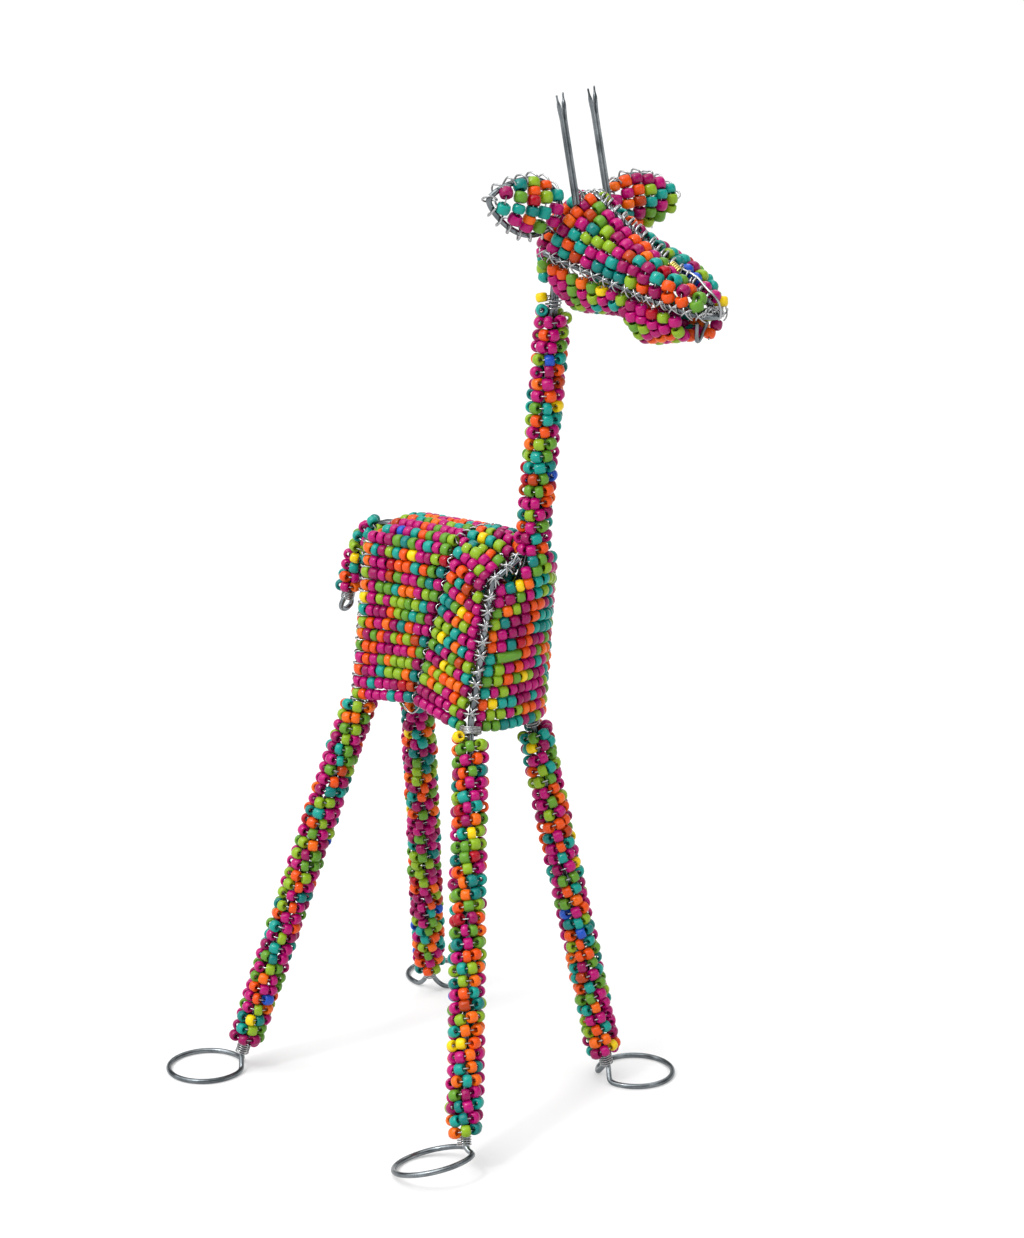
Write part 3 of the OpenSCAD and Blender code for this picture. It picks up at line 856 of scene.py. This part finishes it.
def flank(body, side, end, seed):
    """Rows between a corner and the rib, and one more over the edge of the back."""
    node = "flank_beads_%s_%s" % ("right" if side < 0 else "left", end)
    work = Beadwork(node, seed, BODY_BEAD)
    for k in range(BODY_ROWS):
        row = flank_row(body, side, end, (k + 0.5) / BODY_ROWS)
        work.string(wavy(row, work.rng, 0.18 * MM))
    if end == "rear":
        edge = flank_row(body, side, end, 1 - 0.5 / BODY_ROWS)
        edge = edge[5:] + UP * 3.6 * MM - side * LEFT * 0.7 * MM
    else:
        rib, shoulder = body.rib_at(side, 1), body.shoulder(side)
        start = rib + UP * 1.9 * MM - side * LEFT * 0.5 * MM + FORWARD * 0.8 * MM
        edge = arched(start, shoulder[0] + step(-1.2, 0, 1.6), 0.8 * MM, 16)
    work.string(wavy(edge, work.rng, 0.14 * MM))
    work.finish("body")


def chest(body):
    """Rows from the sewn corner round to the other front post. The upper ones rise round the neck's
    foot, and the two above the last full row only run where they clear the shoulders."""
    work = Beadwork("chest_beads", 310, BODY_BEAD)
    for w in [k + 0.5 for k in range(BODY_ROWS)] + [13.4, 14.3]:
        v = w / BODY_ROWS
        right, left = (body.corner_at("front_" + side, min(v, 0.97)) for side in ("right", "left"))
        extra = max(0.0, w - BODY_ROWS + 0.5)
        row = []
        for t in shares(34):
            bow = 1 - (2 * t - 1) ** 2          # 0 at both posts and 1 in the middle
            if extra and bow < 0.42 + 0.2 * extra:
                continue
            near_left = 1 - ease((1 - t) * 2.2)
            reach = 0.7 + 5.2 * bow + 4.4 * bow ** 1.5 * min(v, 1.05) ** 3 + near_left * 2.8
            rise = -1.2 * v + 3.2 * bow ** 1.5 * min(v, 1) ** 2 + 3.5 * extra
            row.append(mix(right + LEFT * 1.5 * MM, left, t) + step(reach, 0, rise))
        if not extra:
            row += [p - UP * 1.2 * v * MM for p in arc(left, FRONT_R, 12, 45)]
        special = {1: (8.6 * MM, "leaf_green")} if w == 6.5 else {}
        work.string(wavy(row, work.rng, 0.16 * MM), special=special)
    work.finish("body")


def rump(body):
    work = Beadwork("rump_beads", 320, BODY_BEAD)
    for k in range(BODY_ROWS):
        v = (k + 0.5) / BODY_ROWS
        right, left = body.corner_at("rear_right", v), body.corner_at("rear_left", v)
        row = arc(right, REAR_R, -135, -176)
        for t in np.linspace(0.04, 0.96, 18):
            row.append(mix(right, left, t) - FORWARD * (REAR_R + 1.8 * MM * hump(t)))
        row += arc(left, REAR_R, 176, 135)
        work.string(wavy(row, work.rng, 0.16 * MM))
    work.finish("body")


BACK_PITCH = 3.91 * MM      # from one row of the back to the next


def back(body, end, seed):
    """Rows along the back: from the rump to the rib, and from the rib down to the shoulders."""
    node = "back_beads_" + end
    low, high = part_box("back_beads_rear")
    crown = high.z - SLAB / 2
    sewn_on = 0.9 * MM          # from the rib to the first bead of a row
    work = Beadwork(node, seed, BODY_BEAD)
    for k in range(6):
        across = (k - 2.5) * BACK_PITCH
        side = 1 if across > 0 else -1
        drop = 2.6 * MM * (across / (11 * MM)) ** 2
        rib = np.array((body.rib_at(side, 1)[0], body.middle_y() + across, crown - drop))
        if end == "rear":
            start = np.array((low.x - 2.2 * MM, rib[1], rib[2]))
            row = [mix(start, rib - FORWARD * sewn_on, u) - UP * 3.0 * MM * max(0.0, 1 - u / 0.16) ** 2
                   for u in shares(22)]
        else:
            share = 0.97 - 0.28 * (abs(k - 2.5) - 0.5)
            finish = part_of(body.shoulder(side), 0, share)[-1] + step(-1.3, 0, 1.7)
            row = arched(rib + FORWARD * sewn_on, finish, 1.1 * MM, 20)
        work.string(wavy(row, work.rng, 0.14 * MM, LEFT))
    if end == "front":
        for side in (-1, 1):
            rib = body.rib_at(side, 1)
            start = np.array((rib[0] + 3.2 * MM, body.middle_y() + side * 11.6 * MM, crown - 3.0 * MM))
            finish = part_of(body.shoulder(side), 0, 0.2)[-1] + step(-1.3, 0, 1.9)
            work.string(arched(start, finish, 1.1 * MM, 14))
    work.finish("body")


def star(centre, along, across, outward, size, strokes, rng):
    """Crossing stitches of thin wire that arch over a seam. The strokes are given by their angles."""
    lines = []
    for turn in strokes:
        angle = math.radians(turn + rng.gauss(0, 11))
        way = across * math.cos(angle) + along * math.sin(angle)
        reach = size * rng.uniform(0.8, 1.15)
        lift = rng.uniform(0.15, 0.4) * size
        shift = along * rng.gauss(0, 0.1) * size
        line = [centre + shift + way * reach * t + outward * (lift * (1 - t * t) - 0.5 * size * t ** 4)
                for t in np.linspace(-1, 1, 11)]
        lines.append(line)
    return lines


def steps_along(line, pitch):
    """Places along a line, each with the line's direction there."""
    places = evened(line, int(stations(line)[-1] / pitch))
    last = len(places) - 1
    return [(place, unit(places[min(j + 1, last)] - places[max(j - 1, 0)]))
            for j, place in enumerate(places)]


def star_seam(line, outward, top, rng):
    """Stars of stitches along a corner. Above its post they face up as well as out."""
    lines = []
    for place, along in steps_along(line, 4.1 * MM):
        facing = unit(outward + UP * (0.9 if place[2] > top[2] else 0))
        sideways = unit(np.cross(along, facing))
        strokes = (-56, 6, 48, 80)[:rng.choice((3, 3, 4))]
        lines += star(place + facing * 2.0 * MM, along, sideways, facing, 2.4 * MM, strokes, rng)
    return lines


def tie(place, outward, across, rng):
    """A loop of thin wire round a post, which ties one row to it."""
    return np.array([place + UP * rng.uniform(-0.5, 0.5) * MM * math.sin(a)
                     + outward * (0.6 + 2.6 * math.sin(a)) * MM + across * 2.0 * MM * math.cos(a)
                     for a in np.linspace(-0.5, math.pi + 0.5, 18)])


def corner_seams(body):
    """Star stitches close the corner on the right in front, and both shoulders up to the neck's foot. At
    the other corners loops of thin wire tie the rows to the post."""
    for k, leg in enumerate(LEGS):
        rng = random.Random(400 + k)
        foot, top = body.post[leg]
        side = -1 if "right" in leg else 1
        end = 1 if "front" in leg else -1
        outward, across = unit((end, side, 0)), unit((end, -side, 0))
        sewn = [foot, top] if leg == "front_right" else [top]
        lines = []
        if end > 0:
            lines += star_seam(np.array([*sewn, *body.shoulder(side)[1:]]), outward, top, rng)
        if leg != "front_right":
            lines += [tie(body.corner_at(leg, row / BODY_ROWS), outward, across, rng)
                      for row in range(BODY_ROWS + 1)]
        thin_wire("corner_seam_" + leg, lines, "body", radius=STITCH)


def inner_frame(body):
    """The rib in the middle of the body, the bar of the rump and the spine, with the rib's stitches and
    the loop of thin wire that was left hanging under it."""
    for node in ("mid_rib", "rump_bar", "spine_wire"):
        bent_wire(node, "body")
    rng = random.Random(410)
    lines = []
    for side in (-1, 1):
        for k in range(BODY_ROWS + 1):
            here = body.rib_at(side, (k + 0.1) / BODY_ROWS)
            after = body.rib_at(side, min(1.02, (k + 0.95) / BODY_ROWS))
            sway = rng.uniform(0.5, 1.0) * MM
            lines.append(np.array([mix(here, after, t) + step(0, side * (1.5 * hump(t) - 0.4), 0)
                                   + FORWARD * sway * math.sin(2 * math.pi * t + (k % 2) * math.pi)
                                   for t in shares(14)]))
    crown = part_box("back_beads_rear")[1].z
    right, left = body.rib_at(-1, 1), body.rib_at(1, 1)
    over = np.array([(right[0], mix(right, left, t)[1], crown - (1.6 + 2.6 * (2 * t - 1) ** 2) * MM)
                     for t in np.linspace(0.06, 0.94, 16)])
    lines.append(coil(over, 1.5 * MM, 7, steps=18, wobble=0.3, rng=rng))
    thin_wire("mid_rib_stitches", lines, "body")
    under = body.rib_at(-1, 0.0)
    hanging = [under + step(3.5 - 7 * t, -1.2, -0.3 - 2.6 * hump(t))
               for t in shares(14)]
    thin_wire("loose_loop", [hanging], "body")


# -------- head

def head_lines():
    """The ridge and the two sides of the jaw, each from the back of the head to the nose."""
    ridge = facing(wire_lines("ridge_wire")[0], FORWARD)
    jaw = wire_lines("jaw_wire")[0]
    nose = int(np.argmax(jaw[:, 0]))
    halves = [jaw[:nose + 1], jaw[nose:][::-1]]
    halves.sort(key=lambda half: half[0][1])
    return ridge, halves[0], halves[1]


def at_x(line, x):
    return np.array([np.interp(x, line[:, 0], line[:, k]) for k in range(3)])


FACE_STRINGS = 12
JAW_STRINGS = 13
NAPE_STRINGS = 6


def jaw_span(half):
    """The stretch of a jaw wire that runs forward, from the back corner of the jaw."""
    back_corner = int(np.argmax(np.abs(half[:, 1] - half[-1][1])))
    return half[back_corner:]


def faces():
    """Strings from the ridge down to each side of the jaw, over the bulge of the cheek and the muzzle."""
    ridge, right, left = head_lines()
    for name, jaw, side in (("right", right, -1), ("left", left, 1)):
        node = "face_beads_" + name
        work = Beadwork(node, 510 + side, BODY_BEAD * 1.05)
        jaw = jaw_span(jaw)
        back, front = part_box(node)[0].x + 2.2 * MM, jaw[:, 0].max() - 2.4 * MM
        for k in range(FACE_STRINGS + 1):
            u = k / FACE_STRINGS                # 0 at the back of the head and 1 at the nose
            out = unit((0.3 - 0.3 * u, side * 0.75, 0.6))
            top = mix(ridge[0], ridge[-1], 0.02 + 0.94 * u) + step(0, side * 2.0, 0.1)
            foot = at_x(jaw, mix(back, front, u)) + UP * 1.2 * MM
            bulge = (2.7 + 2.3 * ease((u - 0.3) / 0.4) - 2.2 * ease((u - 0.78) / 0.22)) * MM
            row = [mix(top, foot, v) + out * bulge * hump(v) ** 0.8 for v in shares(22)]
            work.string(smoothed(row, 2), slack=-0.03)
        work.finish("head")


def string_inside(work, tree, centre, ways):
    """Strings beads under a surface, along where it is met from a centre in each way."""
    line = laid_on(tree, [(centre, -way) for way in ways])
    if line is not None:
        work.string(line)


def jaw():
    """Strings across under the jaw, and two beads at the lip on a thread of their own."""
    node = "jaw_beads"
    tree = surface(node)
    ridge, right, left = head_lines()
    seam = jaw_span(right)
    low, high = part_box(node)
    work = Beadwork(node, 520, BODY_BEAD)
    ways = [np.array((0, -math.cos(a), -math.sin(a))) for a in np.radians(np.linspace(1, 179, 44))]
    for k in range(JAW_STRINGS):
        x = mix(low.x + 1.2 * MM, high.x - 0.7 * MM, k / (JAW_STRINGS - 1))
        string_inside(work, tree, np.array((x, ridge[0][1], at_x(seam, x)[2] - 2.5 * MM)), ways)
    lip = wire_lines("mouth_wire")[0].mean(0) + FORWARD * 1.5 * MM
    for place, colour in (((-1.0, 3.2, 0.3), "orange"), ((0, 5.2, 2.6), "deep_magenta")):
        work.bead(lip + step(*place), UP + 0.4 * LEFT, colour=colour)
    work.strings.append(np.array([lip + step(-0.6, 3.4 + 0.8 * z, z) for z in np.linspace(-1.4, 5, 8)]))
    work.finish("head")


def nape():
    """Strings up the back of the head and over to the horns."""
    node = "nape_beads"
    tree = surface(node)
    low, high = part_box(node)
    work = Beadwork(node, 530, BODY_BEAD)
    centre = np.array((high.x - 2 * MM, (low.y + high.y) / 2, low.z + 8 * MM))
    for k in range(NAPE_STRINGS):
        spread = math.radians((k - (NAPE_STRINGS - 1) / 2) * 17)
        string_inside(work, tree, centre, [
            math.cos(rise) * (math.sin(spread) * LEFT - math.cos(spread) * FORWARD) + math.sin(rise) * UP
            for rise in np.radians(np.linspace(-40, 100, 46))])
    work.finish("head")


def forked(line, rise, fork=7.5 * MM, spread=1.0 * MM):
    """The two strands of a horn, pressed together. Their cut ends stand apart at the tip."""
    peak = int(np.argmax(line[:, 2]))
    tip = line[peak] + UP * rise
    strands = []
    for k, half in enumerate((line[:peak], line[peak + 1:][::-1])):
        half = facing(half[half[:, 2] < tip[2] - 12 * MM], UP)
        ahead = unit(half[-1] - half[0])
        end = half[-1] + ahead * (tip[2] - half[-1][2] - (1 - k) * 0.9 * MM) / ahead[2]
        strands.append(evened(np.vstack([half, [end]]), 60))
    between = (strands[0] + strands[1]) / 2
    apart = strands[0][-1] - strands[1][-1]
    apart = unit(apart - (apart @ UP) * UP)
    for sign, strand in zip((1, -1), strands):
        lift = np.clip((strand[:, 2] - tip[2] + fork) / fork, 0, 1)
        strand += (HORN_WIRE / FRAME_WIRE - 1) * (strand - between) + sign * spread * lift[:, None] * apart
    return strands


def head_frame():
    """The ridge, the jaw, the mouth and the horns."""
    for node in ("ridge_wire", "jaw_wire"):
        bent_wire(node, "head", 3)
    mouth = rounded(wire_lines("mouth_wire")[0], 3)
    centre = (mouth[0] + mouth[-1]) / 2
    depth = (centre[2] - mouth[:, 2]) / np.ptp(mouth[:, 2])
    narrow = np.stack([0.4 + 0 * depth, 0.75 - 0.5 * depth, 0.85 + 0 * depth], axis=1)
    heavy_wire("mouth_wire", [centre + (mouth - centre) * narrow - FORWARD * 1.6 * MM], "head",
               radius=MOUTH_WIRE)
    for node, rise in (("horn_right", 0), ("horn_left", 1.4 * MM)):
        heavy_wire(node, forked(wire_lines(node)[0], rise), "head", radius=HORN_WIRE, taper=3 * MM)


def ridge_seam(ridge, outward, rng):
    """Two coils of thin wire along the ridge, and a knot of it across the crown."""
    curls = tangled(part_of(ridge, 0.0, 0.97) + outward * 1.0 * MM, 1.5, 2.3, 16, rng, 0.06)
    second = tangled(part_of(ridge, 0.03, 0.93) + outward * 0.7 * MM, 1.2, 1.9, 11, rng, 0.1, phase=1.5)
    crown = ridge[0] + step(-2.2, 0, -0.4)
    over = [crown + step(0, y, 0.3 * math.sin(y)) for y in np.linspace(-6.5, 6.5, 12)]
    knot = tangled(over, 1.3, 2.1, 7, rng, 0.1)
    thin_wire("ridge_seam", [curls, second, knot], "head", radius=STITCH)


def jaw_seam(name, jaw, side, rng):
    """Crossed stitches along one side of the jaw, with a coil towards the nose."""
    span = part_of(jaw_span(jaw), 0.0, 0.92)
    out = unit((0.1, side, 0.15))
    steps = steps_along(span, 3.6 * MM)
    lines = []
    for place, way in steps:
        lines += star(place + out * 2.1 * MM, way, unit(np.cross(way, out)), out, 2.2 * MM, (-46, 44), rng)
    lines.append(coil(part_of(span, 0.6, 1), 1.2 * MM, len(steps) * 0.4, wobble=0.1, rng=rng))
    thin_wire("jaw_seam_" + name, lines, "head")


def nose_wires(ridge, nose, outward, rng):
    """The tangle that binds the nose, the wire that arches over it and the brass tie on the brow."""
    tangle = []
    for k in range(7):
        start = nose + step(-0.9 - 0.3 * abs(k - 3), (k - 3) * 1.25, rng.uniform(-0.5, 1.0))
        end = start + step(rng.uniform(-1.5, 1), rng.uniform(-1, 1), rng.uniform(1, 3))
        tangle.append(tangled([mix(start, end, t) for t in shares(8)], 1.0, 1.7, 2.5, rng, 0.2, steps=14))
    thin_wire("nose_binding", tangle, "head", radius=STITCH)
    over = [part_of(ridge, share, share + 0.01)[0] + outward * height * MM
            for share, height in ((0.74, 2.2), (0.84, 3.1), (0.93, 3.3))]
    over += [ridge[-1] + outward * 2.6 * MM + FORWARD * 1.2 * MM,
             nose + step(1.3, 0, 2.2), nose + step(1.1, 0, 0)]
    arch = evened(rounded(np.array(over) - LEFT * 0.6 * MM, 3), 60)
    sway = np.sin(np.linspace(0, 2.6 * math.pi, 60)) * 0.8 * MM
    thin_wire("nose_arch", [arch + sway[:, None] * LEFT], "head", radius=0.38 * MM)
    brow = part_of(ridge, 0.7, 0.77) + step(0, -2.6, 2.4)
    thin_wire("brow_tie", [coil(brow, 1.0 * MM, 5, steps=16)], "head", radius=0.3 * MM, material=BRASS)


def head_stitches():
    """All the thin wire of the head, bent by one hand from the crown to the nose."""
    ridge, right, left = head_lines()
    rng = random.Random(540)
    outward = np.cross(ridge[-1] - ridge[0], LEFT)
    outward = unit(outward if outward[2] > 0 else -outward)
    ridge_seam(ridge, outward, rng)
    jaw_seam("right", right, -1, rng)
    jaw_seam("left", left, 1, rng)
    nose_wires(ridge, jaw_span(right)[-1], outward, rng)


# -------- ears

def ear(side, seed):
    """A leaf of bent wire with columns of beads across it, laced round its edge."""
    outline = wire_lines("ear_wire_" + side)[0]
    root = (outline[0] + outline[-1]) / 2
    tip = outline[np.argmax(np.linalg.norm(outline - root, axis=1))]
    length = np.linalg.norm(tip - root)
    axis = (tip - root) / length
    rise = unit(UP - (UP @ axis) * axis)
    face = np.cross(axis, rise)
    face = face if face[0] > 0 else -face
    body = "ear_" + side
    bent_wire("ear_wire_" + side, body, 3)
    node = "ear_beads_" + side
    work = Beadwork(node, seed, BODY_BEAD * 1.07)
    edge = rounded(outline, 2)
    out_there, up_there = (edge - root) @ axis, (edge - root) @ rise
    columns, far_end, inset = (5, 0.82, 1.1 * MM) if side == "right" else (6, 0.87, 0.2 * MM)
    for k in range(columns):
        share = k / (columns - 1)
        at = length * mix(0.13, far_end, share)
        near = up_there[np.abs(out_there - at) < 1.0 * MM]
        top, bottom = near.max() + 0.2 * MM, near.min() + (inset if k else 1.8 * MM)
        dome = (0.9 + 1.6 * math.sin(math.pi * (0.1 + 0.8 * share))) * MM
        middle = root + axis * at + face * 0.9 * MM
        row = [middle + rise * mix(bottom, top, v) + face * dome * hump(v) for v in shares(16)]
        work.string(row, slack=-0.04)
    work.finish(body)
    rng = random.Random(seed + 5)
    lacing = tangled(part_of(edge, 0.06, 0.94), 1.3, 2.4, 14, rng, 0.1)
    thin_wire("ear_lacing_" + side, [lacing], body, radius=STITCH)


camera()
floor()
studio()
legs()
neck()
tail()
figure = Body()
for seed, (side, end) in enumerate((s, e) for s in (-1, 1) for e in ("rear", "front")):
    flank(figure, side, end, 300 + seed)
chest(figure)
rump(figure)
back(figure, "rear", 330)
back(figure, "front", 331)
corner_seams(figure)
inner_frame(figure)
faces()
jaw()
nape()
head_frame()
head_stitches()
ear("right", 610)
ear("left", 620)
